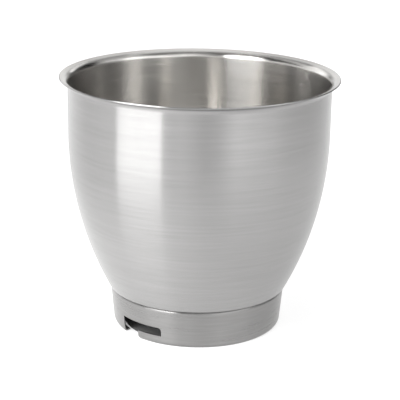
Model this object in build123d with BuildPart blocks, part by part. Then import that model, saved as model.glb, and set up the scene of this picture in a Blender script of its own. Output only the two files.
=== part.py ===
from build123d import *
from math import atan2, degrees
import os

# Bowl of a domestic stand mixer, in brushed stainless steel, with no handle.
# A deep drawn bowl with an out-turned lip stands on a pressed foot ring, which is
# spot welded under its base. Two L shaped slots in the foot ring take the lugs of
# the mixer's seat: the bowl is set down between them and turned to lock.
#
# Millimetres, +Z up. The origin is on the bowl's axis, in the plane that the foot
# ring rests on. The two slots are centred on -Y and +Y.

# Bowl, outside sizes
overall_height = 202.0
wall_diameter = 207.0
upright_wall_height = 37.5     # from the end of the flank to the start of the lip
base_diameter = 139.4          # flat base, up to the turn into the flank
base_corner_radius = 3.0       # outside of the turn from the base to the flank
bowl_sheet = 1.0
lip_bend_radius = 5.5          # underside of the turn from the wall to the lip
lip_flat_width = 1.0           # level part of the lip, outside the bend
lip_edge_share = 0.4           # rounding of the lip's edge, as a share of its sheet
raised_centre_diameter = 50.0  # low dome in the base, which lifts the mixture
raised_centre_height = 6.0

# Foot ring, outside sizes
foot_height = 30.5
foot_stand_out = 1.0           # band beyond the flat base, under the turn of the bowl
foot_taper = 2.8               # how much the band's radius shrinks down to the table
foot_sheet = 1.0
weld_flange_width = 8.0        # turned in under the bowl's base
weld_bend_radius = 2.0
rolled_flange_width = 5.5      # turned in at the table
rolled_edge_radius = 3.0

# Bayonet slots, measured on the flat punch that cuts them
slot_count = 2
slot_length = 39.4             # entrance and locking run together
slot_height = 7.0              # height of the locking run
tongue_height = 7.0            # height of the tongue under the locking run
entrance_width = 17.2          # opening down to the table, at the left end
run_end_radius = 2.5           # upper corner at the closed end of the run
punch_corner_radius = 0.8      # the other corners of the run
punch_clearance = 1.0          # how far the punch goes past the table and the wall

# Worked out from the sizes above
wall_radius = wall_diameter / 2
base_radius = base_diameter / 2
lip_radius = wall_radius + lip_bend_radius + lip_flat_width
lip_bend_level = overall_height - bowl_sheet - lip_bend_radius
wall_foot_level = lip_bend_level - upright_wall_height
corner_level = foot_height + base_corner_radius
foot_top_radius = base_radius + foot_stand_out
foot_base_radius = foot_top_radius - foot_taper

# The flank is one arc. It starts upright at the foot of the wall and runs on smoothly
# into the corner, so the two arcs' centres lie apart by the difference of their radii.
flank_run = wall_radius - base_radius
flank_drop = wall_foot_level - corner_level
flank_radius = (flank_run**2 + flank_drop**2 - base_corner_radius**2) / (
    2 * (flank_run - base_corner_radius)
)
flank_centre_x = wall_radius - flank_radius
flank_sweep = degrees(atan2(flank_drop, base_radius - flank_centre_x))

# The raised centre is two equal arcs that meet half way up: a crown on the axis, and
# a hollow that runs out flat into the base.
dome_reach = raised_centre_diameter / 2
dome_radius = (dome_reach**2 + raised_centre_height**2) / (4 * raised_centre_height)
dome_sweep = degrees(2 * atan2(raised_centre_height, dome_reach))

os.makedirs("parts", exist_ok=True)

# Bowl: one sheet of even thickness, its outer skin drawn from the axis out to the lip
with BuildPart() as bowl:
    with BuildSketch(Plane.XZ) as section:
        with BuildLine():
            crown_centre = (0, foot_height + raised_centre_height - dome_radius)
            crown = CenterArc(crown_centre, dome_radius, 90, -dome_sweep)
            hollow_centre = (dome_reach, foot_height + dome_radius)
            hollow = CenterArc(hollow_centre, dome_radius, -90 - dome_sweep, dome_sweep)
            base = Line(hollow @ 1, (base_radius, foot_height))
            corner_centre = (base_radius, corner_level)
            corner = CenterArc(corner_centre, base_corner_radius, -90, 90 - flank_sweep)
            flank_centre = (flank_centre_x, wall_foot_level)
            flank = CenterArc(flank_centre, flank_radius, -flank_sweep, flank_sweep)
            wall = Line(flank @ 1, (wall_radius, lip_bend_level))
            lip_bend_centre = (wall_radius + lip_bend_radius, lip_bend_level)
            lip_bend = CenterArc(lip_bend_centre, lip_bend_radius, 180, -90)
            lip = Line(lip_bend @ 1, (lip_radius, overall_height - bowl_sheet))
            offset(amount=bowl_sheet, side=Side.LEFT)
        make_face()
        lip_corners = section.vertices().group_by(Axis.X)[-1]
        fillet(lip_corners, radius=lip_edge_share * bowl_sheet)
    revolve(axis=Axis.Z)
bowl.part.label = "bowl"

# Foot ring: a tapered band with a weld flange above and a rolled edge below
with BuildPart() as foot_ring:
    with BuildSketch(Plane.XZ):
        with BuildLine():
            FilletPolyline(
                (foot_base_radius - rolled_flange_width, 0),
                (foot_base_radius, 0),
                (foot_top_radius, foot_height),
                (foot_top_radius - weld_flange_width, foot_height),
                radius=[rolled_edge_radius, weld_bend_radius],
            )
            offset(amount=foot_sheet, side=Side.LEFT)
        make_face()
    revolve(axis=Axis.Z)

    # One L shaped punch for each slot: the locking run, with the entrance at its left
    slot_turns = [index * 360 / slot_count for index in range(slot_count)]
    with BuildSketch(*[Plane.XZ.rotated((0, 0, turn)) for turn in slot_turns]) as slot:
        slot_left = -slot_length / 2
        slot_top = tongue_height + slot_height
        with Locations((slot_left, tongue_height)):
            Rectangle(slot_length, slot_height, align=(Align.MIN, Align.MIN))
        with Locations((slot_left, slot_top)):
            Rectangle(entrance_width, slot_top + punch_clearance, align=(Align.MIN, Align.MAX))
        run_end = slot.vertices().group_by(Axis.X)[-1].sort_by(Axis.Y)
        fillet(run_end[-1], radius=run_end_radius)
        fillet(run_end[0], radius=punch_corner_radius)
        tongue_corner = slot.vertices().group_by(Axis.X)[1].sort_by(Axis.Y)[-1]
        fillet(tongue_corner, radius=punch_corner_radius)
    extrude(amount=foot_top_radius + punch_clearance, mode=Mode.SUBTRACT)
foot_ring.part.label = "foot_ring"

export_step(bowl.part, "parts/bowl.step")
export_step(foot_ring.part, "parts/foot_ring.step")
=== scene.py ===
"""Looks of a brushed steel stand mixer bowl, in metres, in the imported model's frame."""

import logging
import math
from dataclasses import dataclass, field
from enum import Enum

import bpy
from mathutils import Matrix, Vector

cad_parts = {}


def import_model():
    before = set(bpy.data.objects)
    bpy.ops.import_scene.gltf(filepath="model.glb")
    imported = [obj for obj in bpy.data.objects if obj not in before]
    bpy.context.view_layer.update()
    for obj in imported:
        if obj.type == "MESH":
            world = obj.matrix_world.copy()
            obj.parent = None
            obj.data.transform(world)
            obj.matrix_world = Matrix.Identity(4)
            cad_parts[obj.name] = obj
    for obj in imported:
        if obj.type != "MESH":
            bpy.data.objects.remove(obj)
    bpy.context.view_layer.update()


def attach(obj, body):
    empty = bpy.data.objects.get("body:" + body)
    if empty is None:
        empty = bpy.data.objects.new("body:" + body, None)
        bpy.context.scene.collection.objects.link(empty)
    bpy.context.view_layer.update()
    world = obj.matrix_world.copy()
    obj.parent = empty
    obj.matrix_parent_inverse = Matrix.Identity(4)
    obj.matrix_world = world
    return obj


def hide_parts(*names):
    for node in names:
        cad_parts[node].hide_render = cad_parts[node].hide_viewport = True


LOG = logging.getLogger("mixer_bowl")
MM = 0.001
BODY = "root"
SAME_POINT_MM = 1e-6
WELD_GAP_M = 1e-6

Point = tuple[float, float]
Tone = tuple[float, float, float]


@dataclass
class SectionRun:
    """A run of points in the half plane (radius, height), in millimetres, with normals.

    The normals point to the left of the run, so a second skin can be set off from it.
    """

    points: list[Point] = field(default_factory=list)
    normals: list[Point] = field(default_factory=list)

    def _add(self, point: Point, normal: Point) -> None:
        """Adds a point, unless the run already ends there.

        Args:
            point: The point.
            normal: Unit direction to its left.
        """
        if self.points and math.dist(self.points[-1], point) < SAME_POINT_MM:
            return
        self.points.append(point)
        self.normals.append(normal)

    def line(self, start: Point, end: Point, steps: int) -> None:
        """Adds a straight stretch.

        Args:
            start: First point.
            end: Last point.
            steps: Number of equal pieces.
        """
        length = math.dist(start, end)
        normal = ((start[1] - end[1]) / length, (end[0] - start[0]) / length)
        for index in range(steps + 1):
            share = index / steps
            self._add(
                (start[0] + (end[0] - start[0]) * share, start[1] + (end[1] - start[1]) * share),
                normal,
            )

    def arc(self, centre: Point, radius: float, start: float, sweep: float, steps: int) -> None:
        """Adds an arc.

        Args:
            centre: Centre of the arc.
            radius: Radius of the arc.
            start: Direction of the first point from the centre, in degrees.
            sweep: Angle turned through, positive to the left, in degrees.
            steps: Number of equal pieces.
        """
        towards_centre = 1.0 if sweep > 0 else -1.0
        for index in range(steps + 1):
            turn = math.radians(start + sweep * index / steps)
            out = (math.cos(turn), math.sin(turn))
            self._add(
                (centre[0] + radius * out[0], centre[1] + radius * out[1]),
                (-towards_centre * out[0], -towards_centre * out[1]),
            )

    def second_skin(self, sheet: float) -> list[Point]:
        """Sets a second skin off to the left of the run.

        Args:
            sheet: Thickness of the sheet.

        Returns:
            The points of the second skin, in the order of the run.
        """
        return [
            (max(0.0, r + n[0] * sheet), z + n[1] * sheet)
            for (r, z), n in zip(self.points, self.normals)
        ]


def rounded_edge(
    first: Point, second: Point, out: Point, radius: float, steps: int
) -> list[Point]:
    """Rounds the two corners of a sheet's cut edge.

    Args:
        first: Corner where the run arrives.
        second: Corner where it goes on.
        out: Unit direction in which the edge faces.
        radius: Rounding of each corner.
        steps: Pieces in each rounding.

    Returns:
        The points from just before the first corner to just after the second.
    """
    across = Vector(second) - Vector(first)
    across.normalize()
    outward = Vector(out)
    points: list[Point] = []
    for corner, turn_from, turn_to in ((first, -across, outward), (second, outward, across)):
        inside = -outward * radius + (across if corner == first else -across) * radius
        centre = Vector(corner) + inside
        for index in range(steps + 1):
            angle = math.pi / 2 * index / steps
            spoke = turn_from * math.cos(angle) + turn_to * math.sin(angle)
            points.append(tuple(centre + spoke * radius))
    return points


class NodeTree:
    """Short hand for filling a node tree."""

    def __init__(self, tree: bpy.types.NodeTree) -> None:
        """Keeps the tree that is filled."""
        self.tree = tree

    def add(self, kind: str, **settings: object) -> bpy.types.Node:
        """Adds a node.

        Args:
            kind: Blender's name of the node type.
            **settings: Properties of the node.

        Returns:
            The new node.
        """
        node = self.tree.nodes.new(kind)
        for name, value in settings.items():
            setattr(node, name, value)
        return node

    def feed(self, socket: bpy.types.NodeSocket, value: object) -> None:
        """Links a socket to another socket, or sets its value.

        Args:
            socket: The input.
            value: The socket that feeds it, or the plain value.
        """
        if isinstance(value, bpy.types.NodeSocket):
            self.tree.links.new(value, socket)
        else:
            socket.default_value = value

    def math(self, operation: str, *values: object) -> bpy.types.NodeSocket:
        """Adds a Math node.

        Args:
            operation: What it works out.
            *values: Sockets or numbers, in order.

        Returns:
            Its result.
        """
        node = self.add("ShaderNodeMath", operation=operation)
        for socket, value in zip(node.inputs, values):
            self.feed(socket, value)
        return node.outputs[0]

    def object_place(self) -> tuple[bpy.types.NodeSocket, bpy.types.NodeOutputs]:
        """Reads the place on the object.

        Returns:
            The place as one vector, and its x, y and z.
        """
        place = self.add("ShaderNodeTexCoord").outputs["Object"]
        split = self.add("ShaderNodeSeparateXYZ")
        self.feed(split.inputs[0], place)
        return place, split.outputs

    def squared_radius(
        self, x: bpy.types.NodeSocket, y: bpy.types.NodeSocket
    ) -> bpy.types.NodeSocket:
        """Works out the square of the distance from the upright axis.

        Args:
            x: Place along X.
            y: Place along Y.

        Returns:
            The sum of both squares.
        """
        return self.math("ADD", self.math("MULTIPLY", x, x), self.math("MULTIPLY", y, y))

    def shown_rays(self) -> bpy.types.NodeSocket:
        """Tells the rays that see the shown white from those that carry plain light.

        Returns:
            One for a camera, glossy or transmission ray, and zero for any other.
        """
        ray = self.add("ShaderNodeLightPath").outputs
        return self.math(
            "MAXIMUM",
            ray["Is Camera Ray"],
            self.math("MAXIMUM", ray["Is Glossy Ray"], ray["Is Transmission Ray"]),
        )

    def finish(self, shader: bpy.types.NodeSocket) -> None:
        """Feeds a shader to a new material output."""
        self.feed(self.add("ShaderNodeOutputMaterial").inputs[0], shader)


def empty_material(name: str) -> tuple[bpy.types.Material, NodeTree]:
    """Makes a material with no nodes.

    Args:
        name: Its name.

    Returns:
        The material and its tree.
    """
    made = bpy.data.materials.new(name)
    made.use_nodes = True
    made.node_tree.nodes.clear()
    return made, NodeTree(made.node_tree)


class LatheTree:
    """Geometry Nodes that turn a section about the upright axis, and punch it if asked to.

    The section is the modified object's own mesh: a run of points in the XZ plane.
    """

    INNER_SKIN = "inner_skin"

    def __init__(self, name: str, punched: bool) -> None:
        """Builds the tree.

        Args:
            name: Name of the tree.
            punched: Whether a punch is cut out, once or several times round the axis.
        """
        self.group = bpy.data.node_groups.new(name, "GeometryNodeTree")
        self.punched = punched
        self._inputs: dict[str, str] = {}
        self._build()

    def _socket(self, name: str, kind: str, direction: str = "INPUT") -> None:
        """Adds a named socket to the tree's interface and keeps an input's identifier.

        Args:
            name: Name of the socket.
            kind: Blender's name of its type.
            direction: INPUT or OUTPUT.
        """
        socket = self.group.interface.new_socket(name=name, in_out=direction, socket_type=kind)
        if direction == "INPUT":
            self._inputs[name] = socket.identifier

    def _build(self) -> None:
        """Adds the nodes: grid, turn, weld, punch, shading and finish.

        The grid has one run of points for each spoke. Each point goes to its point of the
        section, turned about the axis.
        """
        for name, kind in (
            ("Geometry", "NodeSocketGeometry"),
            ("Segments", "NodeSocketInt"),
            ("Weld", "NodeSocketFloat"),
            ("Crease", "NodeSocketFloat"),
            ("Finish", "NodeSocketMaterial"),
            ("Inner Finish", "NodeSocketMaterial"),
            ("Inner Start", "NodeSocketInt"),
            ("Punch", "NodeSocketObject"),
            ("Punch Count", "NodeSocketInt"),
        ):
            self._socket(name, kind)
        self._socket("Geometry", "NodeSocketGeometry", "OUTPUT")
        nodes = NodeTree(self.group)
        given = nodes.add("NodeGroupInput").outputs

        size = nodes.add("GeometryNodeAttributeDomainSize", component="MESH")
        nodes.feed(size.inputs[0], given["Geometry"])
        count = size.outputs["Point Count"]
        grid = nodes.add("GeometryNodeMeshGrid")
        nodes.feed(grid.inputs["Vertices X"], nodes.math("ADD", given["Segments"], 1.0))
        nodes.feed(grid.inputs["Vertices Y"], count)
        index = nodes.add("GeometryNodeInputIndex").outputs[0]
        place = nodes.math("MODULO", index, count)
        spoke = nodes.math("FLOOR", nodes.math("DIVIDE", nodes.math("ADD", index, 0.5), count))
        turn = nodes.math("DIVIDE", nodes.math("MULTIPLY", spoke, math.tau), given["Segments"])

        sample = nodes.add("GeometryNodeSampleIndex", data_type="FLOAT_VECTOR", domain="POINT")
        nodes.feed(sample.inputs["Geometry"], given["Geometry"])
        nodes.feed(sample.inputs["Value"], nodes.add("GeometryNodeInputPosition").outputs[0])
        nodes.feed(sample.inputs["Index"], place)
        rotate = nodes.add("ShaderNodeVectorRotate", rotation_type="Z_AXIS")
        nodes.feed(rotate.inputs["Vector"], sample.outputs[0])
        nodes.feed(rotate.inputs["Angle"], turn)
        skin = nodes.add("GeometryNodeStoreNamedAttribute", data_type="FLOAT", domain="POINT")
        nodes.feed(skin.inputs["Geometry"], grid.outputs["Mesh"])
        nodes.feed(skin.inputs["Name"], self.INNER_SKIN)
        nodes.feed(
            skin.inputs["Value"],
            nodes.math("GREATER_THAN", place, nodes.math("SUBTRACT", given["Inner Start"], 0.5)),
        )
        turned = nodes.add("GeometryNodeSetPosition")
        nodes.feed(turned.inputs["Geometry"], skin.outputs[0])
        nodes.feed(turned.inputs["Position"], rotate.outputs[0])
        weld = nodes.add("GeometryNodeMergeByDistance")
        nodes.feed(weld.inputs["Geometry"], turned.outputs[0])
        nodes.feed(weld.inputs["Distance"], given["Weld"])
        solid = weld.outputs[0]
        if self.punched:
            solid = self._punch(nodes, given, solid)

        smooth = nodes.add("GeometryNodeSetShadeSmooth", domain="FACE")
        nodes.feed(smooth.inputs["Geometry"], solid)
        nodes.feed(smooth.inputs["Shade Smooth"], True)
        angle = nodes.add("GeometryNodeInputMeshEdgeAngle").outputs["Unsigned Angle"]
        crease = nodes.add("GeometryNodeSetShadeSmooth", domain="EDGE")
        nodes.feed(crease.inputs["Geometry"], smooth.outputs[0])
        nodes.feed(crease.inputs["Selection"], nodes.math("GREATER_THAN", angle, given["Crease"]))
        nodes.feed(crease.inputs["Shade Smooth"], False)
        realize = nodes.add("GeometryNodeRealizeInstances")
        nodes.feed(realize.inputs["Geometry"], crease.outputs[0])
        finish = nodes.add("GeometryNodeSetMaterial")
        nodes.feed(finish.inputs["Geometry"], realize.outputs[0])
        nodes.feed(finish.inputs["Material"], given["Finish"])
        inner = nodes.add("GeometryNodeInputNamedAttribute", data_type="FLOAT")
        nodes.feed(inner.inputs["Name"], self.INNER_SKIN)
        lining = nodes.add("GeometryNodeSetMaterial")
        nodes.feed(lining.inputs["Geometry"], finish.outputs[0])
        nodes.feed(
            lining.inputs["Selection"],
            nodes.math("GREATER_THAN", inner.outputs["Attribute"], 0.5),
        )
        nodes.feed(lining.inputs["Material"], given["Inner Finish"])
        nodes.feed(nodes.add("NodeGroupOutput").inputs[0], lining.outputs[0])

    def _punch(
        self, nodes: NodeTree, given: bpy.types.NodeOutputs, solid: bpy.types.NodeSocket
    ) -> bpy.types.NodeSocket:
        """Cuts the punch out of the solid, evenly round the axis.

        Args:
            nodes: The tree that is filled.
            given: The tree's own inputs.
            solid: The turned solid.

        Returns:
            The punched solid.
        """
        tool = nodes.add("GeometryNodeObjectInfo", transform_space="ORIGINAL")
        nodes.feed(tool.inputs["Object"], given["Punch"])
        points = nodes.add("GeometryNodePoints")
        nodes.feed(points.inputs["Count"], given["Punch Count"])
        index = nodes.add("GeometryNodeInputIndex").outputs[0]
        share = nodes.math("DIVIDE", index, given["Punch Count"])
        turn = nodes.add("ShaderNodeCombineXYZ")
        nodes.feed(turn.inputs["Z"], nodes.math("MULTIPLY", share, math.tau))
        copies = nodes.add("GeometryNodeInstanceOnPoints")
        nodes.feed(copies.inputs["Points"], points.outputs[0])
        nodes.feed(copies.inputs["Instance"], tool.outputs["Geometry"])
        nodes.feed(copies.inputs["Rotation"], turn.outputs[0])
        realize = nodes.add("GeometryNodeRealizeInstances")
        nodes.feed(realize.inputs["Geometry"], copies.outputs[0])
        cut = nodes.add("GeometryNodeMeshBoolean", operation="DIFFERENCE", solver="EXACT")
        nodes.feed(cut.inputs["Mesh 1"], solid)
        nodes.feed(cut.inputs["Mesh 2"], realize.outputs[0])
        return cut.outputs["Mesh"]

    def turn(self, name: str, section: list[Point], inputs: dict[str, object]) -> bpy.types.Object:
        """Turns a section into a plain mesh.

        Args:
            name: Name of the piece.
            section: Points of the section, in millimetres, with the solid on their left.
            inputs: Values of the tree's named inputs.

        Returns:
            The finished piece, with no modifier.
        """
        mesh = bpy.data.meshes.new(f"{name}_section")
        mesh.from_pydata(
            [(r * MM, 0.0, z * MM) for r, z in section],
            [(i, i + 1) for i in range(len(section) - 1)],
            [],
        )
        piece = bpy.data.objects.new(name, mesh)
        bpy.context.scene.collection.objects.link(piece)
        lathe = piece.modifiers.new("lathe", "NODES")
        lathe.node_group = self.group
        for label, value in inputs.items():
            lathe[self._inputs[label]] = value
        depsgraph = bpy.context.evaluated_depsgraph_get()
        turned = bpy.data.meshes.new_from_object(piece.evaluated_get(depsgraph))
        piece.modifiers.clear()
        piece.data = turned
        turned.name = name
        bpy.data.meshes.remove(mesh)
        return piece


@dataclass(frozen=True)
class Streaks:
    """Noise that is long round the axis and short along the section.

    It changes about round_scale times in a radian and along_scale times in a metre.
    """

    round_scale: float
    along_scale: float
    detail: float

    def build(
        self,
        nodes: NodeTree,
        across: tuple[bpy.types.NodeSocket, bpy.types.NodeSocket],
        along: bpy.types.NodeSocket,
    ) -> bpy.types.NodeSocket:
        """Adds the noise to a tree.

        Args:
            nodes: The tree that is filled.
            across: Direction from the axis, as two numbers.
            along: Way along the section, in metres.

        Returns:
            The noise, about 0.5.
        """
        vector = nodes.add("ShaderNodeCombineXYZ")
        nodes.feed(vector.inputs[0], nodes.math("MULTIPLY", across[0], self.round_scale))
        nodes.feed(vector.inputs[1], nodes.math("MULTIPLY", across[1], self.round_scale))
        nodes.feed(vector.inputs[2], nodes.math("MULTIPLY", along, self.along_scale))
        noise = nodes.add("ShaderNodeTexNoise", noise_dimensions="3D")
        nodes.feed(noise.inputs["Vector"], vector.outputs[0])
        nodes.feed(noise.inputs["Scale"], 1.0)
        nodes.feed(noise.inputs["Detail"], self.detail)
        return noise.outputs[0]


@dataclass(frozen=True)
class BrushedSteel:
    """Satin stainless steel, brushed round the axis.

    The pattern reads Object coordinates: the direction from the axis, and the way along
    the section, which radius plus height follows on every skin of the bowl and its foot.
    The relief is in millimetres.
    """

    name: str
    tone: Tone
    darker_tone: Tone
    roughness: float
    roughness_spread: float
    relief: float
    anisotropy: float = 0.98
    brushing_turn: float = 0.25
    hairline: Streaks = Streaks(round_scale=2.2, along_scale=2600.0, detail=3.0)
    brush: Streaks = Streaks(round_scale=1.6, along_scale=480.0, detail=3.0)
    bands: Streaks = Streaks(round_scale=0.8, along_scale=90.0, detail=2.0)
    hairline_share: float = 0.25
    brush_share: float = 0.55
    bands_share: float = 0.2
    tone_range: tuple[float, float] = (0.38, 0.62)
    cloud_scale: float = 14.0
    cloud_detail: float = 3.0
    cloud_share: float = 0.35

    def material(self) -> bpy.types.Material:
        """Builds the material.

        Returns:
            The node material.
        """
        made, nodes = empty_material(self.name)
        place, (x, y, z) = nodes.object_place()
        radius = nodes.math("SQRT", nodes.squared_radius(x, y))
        along = nodes.math("ADD", radius, z)
        across = (nodes.math("DIVIDE", x, radius), nodes.math("DIVIDE", y, radius))
        hairline = nodes.math(
            "MULTIPLY", self.hairline.build(nodes, across, along), self.hairline_share
        )
        brush = self.brush.build(nodes, across, along)
        bands = self.bands.build(nodes, across, along)
        grain = nodes.math(
            "ADD",
            hairline,
            nodes.math(
                "ADD",
                nodes.math("MULTIPLY", brush, self.brush_share),
                nodes.math("MULTIPLY", bands, self.bands_share),
            ),
        )
        bump = nodes.add("ShaderNodeBump")
        nodes.feed(bump.inputs["Strength"], 1.0)
        nodes.feed(bump.inputs["Distance"], self.relief * MM)
        nodes.feed(bump.inputs["Height"], nodes.math("ADD", brush, hairline))
        tangent = nodes.add("ShaderNodeTangent", direction_type="RADIAL", axis="Z")

        steel = nodes.add("ShaderNodeBsdfPrincipled")
        nodes.feed(steel.inputs["Metallic"], 1.0)
        nodes.feed(steel.inputs["Anisotropic"], self.anisotropy)
        nodes.feed(steel.inputs["Anisotropic Rotation"], self.brushing_turn)
        nodes.feed(steel.inputs["Base Color"], self._colour(nodes, grain))
        nodes.feed(steel.inputs["Roughness"], self._rough(nodes, grain, place))
        nodes.feed(steel.inputs["Normal"], bump.outputs[0])
        nodes.feed(steel.inputs["Tangent"], tangent.outputs[0])
        nodes.finish(steel.outputs[0])
        return made

    def _colour(self, nodes: NodeTree, grain: bpy.types.NodeSocket) -> bpy.types.NodeSocket:
        """Mixes the two tones by the grain.

        The mix node's inputs 6 and 7 are its two colours, and its output 2 is the mixed one.

        Args:
            nodes: The tree that is filled.
            grain: The brushing, about 0.5.

        Returns:
            The colour.
        """
        spread = nodes.add("ShaderNodeMapRange", clamp=True)
        nodes.feed(spread.inputs["Value"], grain)
        nodes.feed(spread.inputs["From Min"], self.tone_range[0])
        nodes.feed(spread.inputs["From Max"], self.tone_range[1])
        colour = nodes.add("ShaderNodeMix", data_type="RGBA")
        nodes.feed(colour.inputs["Factor"], spread.outputs[0])
        nodes.feed(colour.inputs[6], (*self.darker_tone, 1.0))
        nodes.feed(colour.inputs[7], (*self.tone, 1.0))
        return colour.outputs[2]

    def _rough(
        self, nodes: NodeTree, grain: bpy.types.NodeSocket, place: bpy.types.NodeSocket
    ) -> bpy.types.NodeSocket:
        """Varies the roughness by the grain and by a slow cloud.

        Args:
            nodes: The tree that is filled.
            grain: The brushing, about 0.5.
            place: Place on the object.

        Returns:
            The roughness, about the steel's own.
        """
        cloud = nodes.add("ShaderNodeTexNoise", noise_dimensions="3D")
        nodes.feed(cloud.inputs["Vector"], place)
        nodes.feed(cloud.inputs["Scale"], self.cloud_scale)
        nodes.feed(cloud.inputs["Detail"], self.cloud_detail)
        uneven = nodes.math(
            "ADD", grain, nodes.math("MULTIPLY", cloud.outputs[0], self.cloud_share)
        )
        middle = 0.5 * (1 + self.cloud_share)
        return nodes.math(
            "ADD",
            self.roughness - self.roughness_spread * middle,
            nodes.math("MULTIPLY", uneven, self.roughness_spread),
        )


class Steel(Enum):
    """The three finishes of the steel.

    The outside and the inside are one sheet. Their tones differ partly by finish and partly as
    painted light: the inside's lighter tone stands in for light that reaches deep into the bowl,
    and the foot's darker tone is painted shade from the bowl above and the dim floor it reflects.
    """

    OUTSIDE = BrushedSteel(
        "satin_outside",
        tone=(0.386, 0.382, 0.38),
        darker_tone=(0.357, 0.354, 0.351),
        roughness=0.26,
        roughness_spread=0.05,
        relief=0.005,
    )
    INSIDE = BrushedSteel(
        "brushed_inside",
        # painted light: this lighter tone partly stands in for light reaching deep into the bowl
        tone=(0.665, 0.652, 0.632),
        darker_tone=(0.61, 0.598, 0.579),
        roughness=0.22,
        roughness_spread=0.06,
        relief=0.005,
    )
    FOOT = BrushedSteel(
        "foot_steel",
        # painted shade: this darker tone partly stands in for shade under the bowl
        tone=(0.31, 0.306, 0.303),
        darker_tone=(0.27, 0.267, 0.264),
        roughness=0.28,
        roughness_spread=0.08,
        relief=0.006,
    )


@dataclass
class Bowl:
    """The deep drawn bowl, in millimetres: one even sheet from its raised centre to its lip.

    The lip rises outwards by lip_slope degrees. The fields in steps are the pieces that a
    stretch of the section is made of.
    """

    overall_height: float = 202.0
    wall_diameter: float = 207.0
    wall_foot_level: float = 158.0
    base_diameter: float = 139.4
    base_corner_radius: float = 3.0
    sheet: float = 1.0
    lip_diameter: float = 220.0
    lip_slope: float = 20.0
    lip_bend_radius: float = 4.9
    lip_edge_round: float = 0.3
    raised_centre_diameter: float = 50.0
    raised_centre_height: float = 6.0
    foot_height: float = 30.5
    crease_angle: float = 60.0
    segments: int = 320
    straight_steps: int = 8
    base_bend_steps: int = 10
    flank_steps: int = 44
    lip_bend_steps: int = 14
    flare_steps: int = 4
    edge_steps: int = 5

    def _outer_run(self) -> SectionRun:
        """Draws the outer skin from the axis out to the lip.

        Returns:
            The run, with the sheet on its left.
        """
        wall_radius = self.wall_diameter / 2
        base_radius = self.base_diameter / 2
        wall_foot = self.wall_foot_level
        corner_level = self.foot_height + self.base_corner_radius
        flank_run, flank_drop = wall_radius - base_radius, wall_foot - corner_level
        flank_radius = (flank_run**2 + flank_drop**2 - self.base_corner_radius**2) / (
            2 * (flank_run - self.base_corner_radius)
        )
        flank_centre = wall_radius - flank_radius
        flank_sweep = math.degrees(math.atan2(flank_drop, base_radius - flank_centre))
        reach, rise = self.raised_centre_diameter / 2, self.raised_centre_height
        dome_radius = (reach**2 + rise**2) / (4 * rise)
        dome_sweep = math.degrees(2 * math.atan2(rise, reach))
        dome_centre = (0.0, self.foot_height + rise - dome_radius)
        hollow_centre = (reach, self.foot_height + dome_radius)
        bends = self.base_bend_steps

        run = SectionRun()
        run.arc(dome_centre, dome_radius, 90, -dome_sweep, bends)
        run.arc(hollow_centre, dome_radius, -90 - dome_sweep, dome_sweep, bends)
        run.line(
            (reach, self.foot_height), (base_radius, self.foot_height), self.straight_steps
        )
        run.arc(
            (base_radius, corner_level), self.base_corner_radius, -90, 90 - flank_sweep, bends
        )
        run.arc(
            (flank_centre, wall_foot), flank_radius, -flank_sweep, flank_sweep, self.flank_steps
        )
        self._add_lip(run)
        return run

    def _add_lip(self, run: SectionRun) -> None:
        """Adds the upright wall, the bend and the lip, which rises a little outwards.

        The rounding of the lip's edge takes a little off its corner, so the corner is set out
        by as much and the finished lip has its diameter and height.

        Args:
            run: The run, which ends at the foot of the upright wall.
        """
        slope = math.radians(self.lip_slope)
        rise, reach = math.sin(slope), math.cos(slope)
        wall_radius, bend = self.wall_diameter / 2, self.lip_bend_radius
        rounded_off = self.lip_edge_round * (rise + reach - 1)
        edge = (
            self.lip_diameter / 2 + rounded_off,
            self.overall_height + rounded_off - self.sheet * reach,
        )
        bend_end = wall_radius + bend * (1 - rise)
        bend_end_level = edge[1] - (edge[0] - bend_end) * rise / reach
        bend_level = bend_end_level - bend * reach
        run.line(
            (wall_radius, self.wall_foot_level), (wall_radius, bend_level), self.straight_steps
        )
        run.arc(
            (wall_radius + bend, bend_level),
            bend,
            180,
            self.lip_slope - 90,
            self.lip_bend_steps,
        )
        run.line((bend_end, bend_end_level), edge, self.flare_steps)

    def section(self) -> tuple[list[Point], int]:
        """Draws the whole section: outer skin, rounded lip edge and inner skin.

        Returns:
            The points, from the axis out and back to the axis, and where the inner skin starts.
        """
        outer = self._outer_run()
        inner = outer.second_skin(self.sheet)
        slope = math.radians(self.lip_slope)
        edge = rounded_edge(
            outer.points[-1],
            inner[-1],
            (math.cos(slope), math.sin(slope)),
            self.lip_edge_round,
            self.edge_steps,
        )
        shown_outside = outer.points[:-1] + edge
        return shown_outside + inner[-2::-1], len(shown_outside) - 1

    def build(
        self, outer_steel: bpy.types.Material, inner_steel: bpy.types.Material
    ) -> bpy.types.Object:
        """Builds the bowl.

        Args:
            outer_steel: Finish of the outside.
            inner_steel: Finish of the inside, up to the lip's edge.

        Returns:
            The piece that stands for the node bowl.
        """
        lathe = LatheTree("turned_sheet", punched=False)
        section, inner_start = self.section()
        shell = lathe.turn(
            "drawn_bowl",
            section,
            {
                "Segments": self.segments,
                "Weld": WELD_GAP_M,
                "Crease": math.radians(self.crease_angle),
                "Finish": outer_steel,
                "Inner Finish": inner_steel,
                "Inner Start": inner_start,
            },
        )
        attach(shell, BODY)
        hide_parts("bowl")
        report(shell)
        return shell


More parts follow.
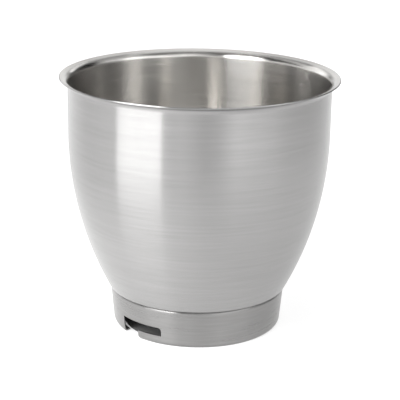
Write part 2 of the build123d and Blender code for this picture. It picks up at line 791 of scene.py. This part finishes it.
@dataclass
class FootRing:
    """The pressed foot ring, in millimetres, with its two bayonet slots.

    The fields in steps are the pieces that a stretch of the section or of the punch is made of.
    """

    height: float = 30.5
    top_radius: float = 70.7
    base_radius: float = 67.9
    sheet: float = 1.0
    weld_flange_width: float = 8.0
    weld_bend_radius: float = 2.0
    rolled_flange_width: float = 5.5
    rolled_edge_radius: float = 3.0
    slot_count: int = 2
    slot_length: float = 39.4
    slot_height: float = 7.0
    tongue_height: float = 7.0
    entrance_width: float = 17.2
    run_end_radius: float = 2.5
    punch_corner_radius: float = 0.8
    punch_below: float = 1.0
    punch_inwards: float = 12.0
    punch_outwards: float = 2.0
    edge_round: float = 0.3
    crease_angle: float = 35.0
    segments: int = 320
    rolled_flange_steps: int = 2
    roll_steps: int = 14
    band_steps: int = 10
    bend_steps: int = 12
    weld_flange_steps: int = 3
    edge_steps: int = 3
    corner_steps: int = 5
    run_end_steps: int = 8

    def _outer_run(self) -> SectionRun:
        """Draws the outer skin from the rolled flange's edge up to the weld flange's edge.

        Returns:
            The run, with the sheet on its left.
        """
        slope = math.degrees(math.atan2(self.height, self.top_radius - self.base_radius))
        roll, bend = self.rolled_edge_radius, self.weld_bend_radius
        roll_reach = roll * math.tan(math.radians(slope / 2))
        bend_turn = 180 - slope
        bend_reach = bend * math.tan(math.radians(bend_turn / 2))
        up = (math.cos(math.radians(slope)), math.sin(math.radians(slope)))
        band_end = (self.top_radius - up[0] * bend_reach, self.height - up[1] * bend_reach)
        bend_centre = (self.top_radius - bend_reach, self.height - bend)

        run = SectionRun()
        run.line(
            (self.base_radius - self.rolled_flange_width, 0.0),
            (self.base_radius - roll_reach, 0.0),
            self.rolled_flange_steps,
        )
        run.arc((self.base_radius - roll_reach, roll), roll, -90, slope, self.roll_steps)
        run.line(run.points[-1], band_end, self.band_steps)
        run.arc(bend_centre, bend, slope - 90, bend_turn, self.bend_steps)
        run.line(
            (self.top_radius - bend_reach, self.height),
            (self.top_radius - self.weld_flange_width, self.height),
            self.weld_flange_steps,
        )
        return run

    def section(self) -> list[Point]:
        """Draws the closed section of the ring.

        Returns:
            The points, the last one on the first.
        """
        outer = self._outer_run()
        inner = outer.second_skin(self.sheet)
        edge = {"out": (-1.0, 0.0), "radius": self.edge_round, "steps": self.edge_steps}
        top = rounded_edge(outer.points[-1], inner[-1], **edge)
        bottom = rounded_edge(inner[0], outer.points[0], **edge)
        loop = outer.points[1:-1] + top + inner[-2:0:-1] + bottom
        return loop + loop[:1]

    def _slot_outline(self) -> list[Point]:
        """Draws the L of the slot that faces -Y, seen from outside.

        Returns:
            Its corners and roundings, as places along X and up.
        """
        left, right = -self.slot_length / 2, self.slot_length / 2
        tongue, top = left + self.entrance_width, self.tongue_height + self.slot_height
        corner, run_end = self.punch_corner_radius, self.run_end_radius
        outline = SectionRun()
        outline.line((left, -self.punch_below), (tongue, -self.punch_below), 1)
        outline.arc(
            (tongue + corner, self.tongue_height - corner), corner, 180, -90, self.corner_steps
        )
        outline.arc(
            (right - corner, self.tongue_height + corner), corner, -90, 90, self.corner_steps
        )
        outline.arc((right - run_end, top - run_end), run_end, 0, 90, self.run_end_steps)
        return outline.points + [(left, top)]

    def _punch(self) -> bpy.types.Object:
        """Makes the punch for one slot, which goes through the wall and the rolled flange.

        Returns:
            The punch, which is taken away once the ring is cut.
        """
        outline = self._slot_outline()
        near = self.base_radius - self.punch_inwards
        far = self.top_radius + self.punch_outwards
        count = len(outline)
        vertices = [(x * MM, -far * MM, z * MM) for x, z in outline]
        vertices += [(x * MM, -near * MM, z * MM) for x, z in outline]
        faces = [tuple(range(count)), tuple(range(2 * count - 1, count - 1, -1))]
        faces += [
            ((i + 1) % count, i, i + count, (i + 1) % count + count) for i in range(count)
        ]
        mesh = bpy.data.meshes.new("slot_punch")
        mesh.from_pydata(vertices, [], faces)
        punch = bpy.data.objects.new("slot_punch", mesh)
        bpy.context.scene.collection.objects.link(punch)
        return punch

    def build(self, steel: bpy.types.Material) -> bpy.types.Object:
        """Builds the ring.

        Args:
            steel: Its finish.

        Returns:
            The piece that stands for the node foot_ring.
        """
        punch = self._punch()
        lathe = LatheTree("turned_and_punched_sheet", punched=True)
        band = lathe.turn(
            "slotted_foot",
            self.section(),
            {
                "Segments": self.segments,
                "Weld": WELD_GAP_M,
                "Crease": math.radians(self.crease_angle),
                "Finish": steel,
                "Inner Finish": steel,
                "Inner Start": 0,
                "Punch": punch,
                "Punch Count": self.slot_count,
            },
        )
        bpy.data.objects.remove(punch)
        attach(band, BODY)
        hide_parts("foot_ring")
        report(band)
        return band


@dataclass(frozen=True)
class SoftLamp:
    """One soft box at the front left, aimed at the bowl's axis.

    Its glow is on the same scale as the picture: a cloth of glow 1 would show white. The
    azimuth is in degrees from -Y, and the lengths are in metres.
    """

    name: str
    level: float
    aim_level: float
    height: float
    glow: float
    width: float = 0.25
    azimuth: float = -6.0
    distance: float = 0.371

    def build(self) -> bpy.types.Object:
        """Adds the lamp.

        Returns:
            The lamp.
        """
        data = bpy.data.lights.new(self.name, "AREA")
        data.shape = "RECTANGLE"
        data.size, data.size_y = self.width, self.height
        data.energy = self.glow * math.pi * self.width * self.height
        lamp = bpy.data.objects.new(self.name, data)
        bpy.context.scene.collection.objects.link(lamp)
        turn = math.radians(self.azimuth)
        lamp.location = (
            self.distance * math.sin(turn),
            -self.distance * math.cos(turn),
            self.level,
        )
        aim = Vector((0.0, 0.0, self.aim_level)) - lamp.location
        lamp.rotation_euler = aim.to_track_quat("-Z", "Y").to_euler()
        lamp.visible_camera = False
        return lamp


@dataclass(frozen=True)
class TentRow:
    """One row of the light tent round the bowl, unseen by the camera.

    The stops are pairs of azimuth and glow, in rising order, and the glow runs evenly from
    each to the next, all the way round. The lengths are in metres.
    """

    name: str
    bottom: float
    top: float
    stops: tuple[tuple[float, float], ...]
    distance: float = 1.9
    top_distance: float = 1.9
    sections: int = 96

    GLOW = "glow"

    def glow_at(self, azimuth: float) -> float:
        """Finds the glow at an azimuth.

        Args:
            azimuth: Direction from the axis, in degrees from -Y.

        Returns:
            The glow between the two nearest stops.
        """
        first = self.stops[0]
        azimuth = first[0] + (azimuth - first[0]) % 360
        run = (*self.stops, (first[0] + 360, first[1]))
        for (start, glow), (end, next_glow) in zip(run, run[1:]):
            if azimuth <= end:
                return glow + (next_glow - glow) * (azimuth - start) / (end - start)
        return first[1]

    def build(self, cloth: bpy.types.Material) -> bpy.types.Object:
        """Adds the row.

        Args:
            cloth: Material that glows by the row's own attribute.

        Returns:
            The row.
        """
        vertices, glows = [], []
        for index in range(self.sections):
            azimuth = 360 * index / self.sections
            turn = math.radians(azimuth)
            x, y = math.sin(turn), -math.cos(turn)
            vertices += [
                (x * self.distance, y * self.distance, self.bottom),
                (x * self.top_distance, y * self.top_distance, self.top),
            ]
            glows += [self.glow_at(azimuth)] * 2
        count = len(vertices)
        mesh = bpy.data.meshes.new(self.name)
        mesh.from_pydata(
            vertices,
            [],
            [(i, (i + 2) % count, (i + 3) % count, i + 1) for i in range(0, count, 2)],
        )
        mesh.attributes.new(self.GLOW, "FLOAT", "POINT").data.foreach_set("value", glows)
        mesh.materials.append(cloth)
        row = bpy.data.objects.new(self.name, mesh)
        bpy.context.scene.collection.objects.link(row)
        row.visible_camera = False
        return row


@dataclass(frozen=True)
class PaperFloor:
    """White paper that the bowl stands on, in metres.

    Plain light meets paper of the plain tone. The camera and the steel see the shown tone and
    a glow, which makes it white, ends under the foot as painted shade and keeps a soft shadow
    round it. Near the foot the glow is stronger on the left of the picture and weaker on its
    right, which the shade's azimuth faces, as the steel's reflections show in the photograph:
    painted light on the left and painted shade on the right.
    """

    radius: float = 7.0
    level: float = -0.0001
    sides: int = 96
    plain_tone: float = 0.8
    shown_tone: float = 0.3
    glow: float = 1.0
    foot_radius: float = 0.060
    shadow_reach: float = 0.06
    shadow_gain: float = 2.4
    shadow_samples: int = 12
    shade_azimuth: float = 130.3
    shade_rate: float = 2.2
    shade_end: float = 0.45
    least_shade: float = -0.32
    most_shade: float = 0.18

    def build(self) -> bpy.types.Object:
        """Adds the floor.

        Returns:
            The floor.
        """
        rim = [
            (
                self.radius * math.cos(math.tau * i / self.sides),
                self.radius * math.sin(math.tau * i / self.sides),
                self.level,
            )
            for i in range(self.sides)
        ]
        mesh = bpy.data.meshes.new("pale_floor")
        mesh.from_pydata(rim, [], [tuple(range(self.sides))])
        mesh.materials.append(self._paper())
        floor = bpy.data.objects.new("pale_floor", mesh)
        bpy.context.scene.collection.objects.link(floor)
        return floor

    def _paper(self) -> bpy.types.Material:
        """Makes the paper.

        Returns:
            The node material.
        """
        paper, nodes = empty_material("pale_floor")
        plain = nodes.add("ShaderNodeBsdfDiffuse")
        nodes.feed(plain.inputs["Color"], (self.plain_tone,) * 3 + (1.0,))
        shown = nodes.add("ShaderNodeBsdfDiffuse")
        nodes.feed(shown.inputs["Color"], (self.shown_tone,) * 3 + (1.0,))
        glow = nodes.add("ShaderNodeEmission")
        nodes.feed(glow.inputs["Strength"], self._glow(nodes))
        both = nodes.add("ShaderNodeAddShader")
        nodes.feed(both.inputs[0], shown.outputs[0])
        nodes.feed(both.inputs[1], glow.outputs[0])
        mix = nodes.add("ShaderNodeMixShader")
        nodes.feed(mix.inputs["Fac"], nodes.shown_rays())
        nodes.feed(mix.inputs[1], plain.outputs[0])
        nodes.feed(mix.inputs[2], both.outputs[0])
        nodes.finish(mix.outputs[0])
        return paper

    def _glow(self, nodes: NodeTree) -> bpy.types.NodeSocket:
        """Works out the glow: none under the foot, as painted shade, and less where the bowl is
        near.

        Args:
            nodes: The tree that is filled.

        Returns:
            The strength of the glow.
        """
        open_share = nodes.add("ShaderNodeAmbientOcclusion", samples=self.shadow_samples)
        nodes.feed(open_share.inputs["Distance"], self.shadow_reach)
        gained = nodes.math("MULTIPLY", open_share.outputs["AO"], self.shadow_gain)
        lit = nodes.math("MINIMUM", gained, 1.0)
        _, (x, y, _) = nodes.object_place()
        from_axis = nodes.squared_radius(x, y)
        # painted shade: the paper under the foot ring gets no glow
        outside_foot = nodes.math("GREATER_THAN", from_axis, self.foot_radius**2)
        # painted light on the picture's left and painted shade on its right, near the foot
        side_glow = nodes.math(
            "MULTIPLY",
            nodes.math("SUBTRACT", 1.0, self._shade(nodes, x, y, from_axis)),
            self.glow,
        )
        return nodes.math("MULTIPLY", nodes.math("MULTIPLY", lit, outside_foot), side_glow)

    def _shade(
        self,
        nodes: NodeTree,
        x: bpy.types.NodeSocket,
        y: bpy.types.NodeSocket,
        from_axis: bpy.types.NodeSocket,
    ) -> bpy.types.NodeSocket:
        """Works out the painted shade: the share of the glow that is lost towards the right of the
        picture.

        Args:
            nodes: The tree that is filled.
            x: Place along X.
            y: Place along Y.
            from_axis: Square of the distance from the axis.

        Returns:
            The share, below zero on the left, where it paints light, and zero beyond the shade's
            end.
        """
        away = math.radians(self.shade_azimuth)
        rising = nodes.math(
            "ADD",
            nodes.math("MULTIPLY", x, math.sin(away) * self.shade_rate),
            nodes.math("MULTIPLY", y, -math.cos(away) * self.shade_rate),
        )
        held = nodes.math(
            "MAXIMUM", nodes.math("MINIMUM", rising, self.most_shade), self.least_shade
        )
        farness = nodes.math("DIVIDE", from_axis, self.shade_end**2)
        nearness = nodes.math("MAXIMUM", nodes.math("SUBTRACT", 1.0, farness), 0.0)
        return nodes.math("MULTIPLY", held, nearness)


@dataclass
class Studio:
    """The white surround, the floor, the soft boxes and the light tent round the bowl.

    The glows of the tent and of the soft boxes come from a least squares fit, made by another
    script, to the brightness of the steel in the photograph. They were rounded, and those of
    the tent's three rows were then cut to the places where the glow turns.
    """

    floor: PaperFloor = PaperFloor()
    lamps: tuple[SoftLamp, ...] = (
        SoftLamp("left_low_box", level=0.085, aim_level=0.085, height=0.13, glow=1.7),
        SoftLamp("left_mid_box", level=0.225, aim_level=0.225, height=0.15, glow=0.6),
        SoftLamp("left_high_box", level=0.40, aim_level=0.35, height=0.20, glow=7.2),
    )
    rows: tuple[TentRow, ...] = (
        TentRow(
            "low_row",
            bottom=0.03,
            top=0.65,
            stops=(
                (-140, 1.1), (-120, 0.2), (-100, 2.2), (-70, 1.1), (-40, 2.0), (-20, 1.5),
                (-10, 0.0), (5, 0.0), (25, 1.8), (45, 0.0), (55, 0.2), (70, 2.4), (110, 0.5),
                (140, 0.0), (200, 0.0),
            ),
        ),
        TentRow(
            "mid_row",
            bottom=0.65,
            top=1.5,
            stops=(
                (-140, 1.3), (-125, 0.5), (-110, 1.6), (-80, 1.0), (-60, 0.0), (-30, 0.0),
                (-10, 6.6), (5, 6.2), (20, 0.0), (55, 2.3), (70, 1.4), (110, 3.0), (125, 1.0),
                (140, 1.0), (160, 0.0), (190, 0.0), (200, 2.0), (210, 0.3),
            ),
        ),
        TentRow(
            "high_row",
            bottom=1.5,
            top=3.2,
            stops=(
                (-140, 1.3), (-110, 0.1), (-80, 0.9), (-50, 0.0), (10, 0.0), (50, 0.8),
                (90, 0.0), (130, 0.6), (190, 0.3),
            ),
        ),
        TentRow(
            "roof",
            bottom=3.2,
            top=3.25,
            stops=((-60, 0.2), (125, 0.2), (160, 0.9), (260, 0.9)),
            top_distance=0.01,
        ),
    )

    def build(self) -> None:
        """Adds the surround, floor, tent and lamps, and sets the view transform.

        Only the view transform is set. The other view settings stay as they are.
        """
        self._surround()
        self.floor.build()
        cloth = self._tent_cloth()
        for row in self.rows:
            row.build(cloth)
        for lamp in self.lamps:
            lamp.build()
        bpy.context.scene.view_settings.view_transform = "Standard"
        LOG.info("studio: %d lamps, %d rows of tent", len(self.lamps), len(self.rows))

    @staticmethod
    def _tent_cloth() -> bpy.types.Material:
        """Makes the tent's cloth.

        Returns:
            A material that glows by the tent's own attribute.
        """
        cloth, nodes = empty_material("tent_cloth")
        glow = nodes.add("ShaderNodeEmission")
        level = nodes.add("ShaderNodeAttribute", attribute_name=TentRow.GLOW)
        nodes.feed(glow.inputs["Strength"], level.outputs["Fac"])
        nodes.finish(glow.outputs[0])
        return cloth

    @staticmethod
    def _surround() -> None:
        """Adds an even surround that shows white and lights nothing.

        Metal shows it as the camera does, and the tent gives the light.
        """
        world = bpy.data.worlds.new("white_surround")
        world.use_nodes = True
        nodes = NodeTree(world.node_tree)
        background = world.node_tree.nodes["Background"]
        nodes.feed(background.inputs["Color"], (1.0, 1.0, 1.0, 1.0))
        nodes.feed(background.inputs["Strength"], nodes.shown_rays())
        bpy.context.scene.world = world


@dataclass(frozen=True)
class PhotoCamera:
    """The photograph's viewpoint, worked out from the rim, the silhouette and the joint line."""

    azimuth: float = 40.3
    distance: float = 1.0103
    height: float = 0.4194
    pitch: float = 17.567
    yaw: float = -0.0805
    roll: float = 0.83
    lens: float = 118.34
    sensor: float = 36.0
    nearest: float = 0.05
    farthest: float = 30.0

    def build(self) -> bpy.types.Object:
        """Adds the camera and makes it the scene's own.

        Returns:
            The camera.
        """
        data = bpy.data.cameras.new("photo_camera")
        data.lens, data.sensor_width = self.lens, self.sensor
        data.clip_start, data.clip_end = self.nearest, self.farthest
        camera = bpy.data.objects.new("photo_camera", data)
        bpy.context.scene.collection.objects.link(camera)
        turn = math.radians(self.azimuth)
        camera.matrix_world = (
            Matrix.Translation(
                (self.distance * math.sin(turn), -self.distance * math.cos(turn), self.height)
            )
            @ Matrix.Rotation(turn + math.radians(self.yaw), 4, "Z")
            @ Matrix.Rotation(math.radians(90 - self.pitch), 4, "X")
            @ Matrix.Rotation(math.radians(self.roll), 4, "Z")
        )
        bpy.context.scene.camera = camera
        return camera


def report(piece: bpy.types.Object) -> None:
    """Logs a piece's name and its number of faces."""
    LOG.info("%s: %d faces", piece.name, len(piece.data.polygons))


def main() -> None:
    """Builds the bowl, its foot ring, the studio and the camera, in this order.
    """
    logging.basicConfig(level=logging.INFO, format="%(name)s %(message)s")
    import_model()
    Bowl().build(Steel.OUTSIDE.value.material(), Steel.INSIDE.value.material())
    FootRing().build(Steel.FOOT.value.material())
    Studio().build()
    PhotoCamera().build()


if __name__ == "__main__":
    main()
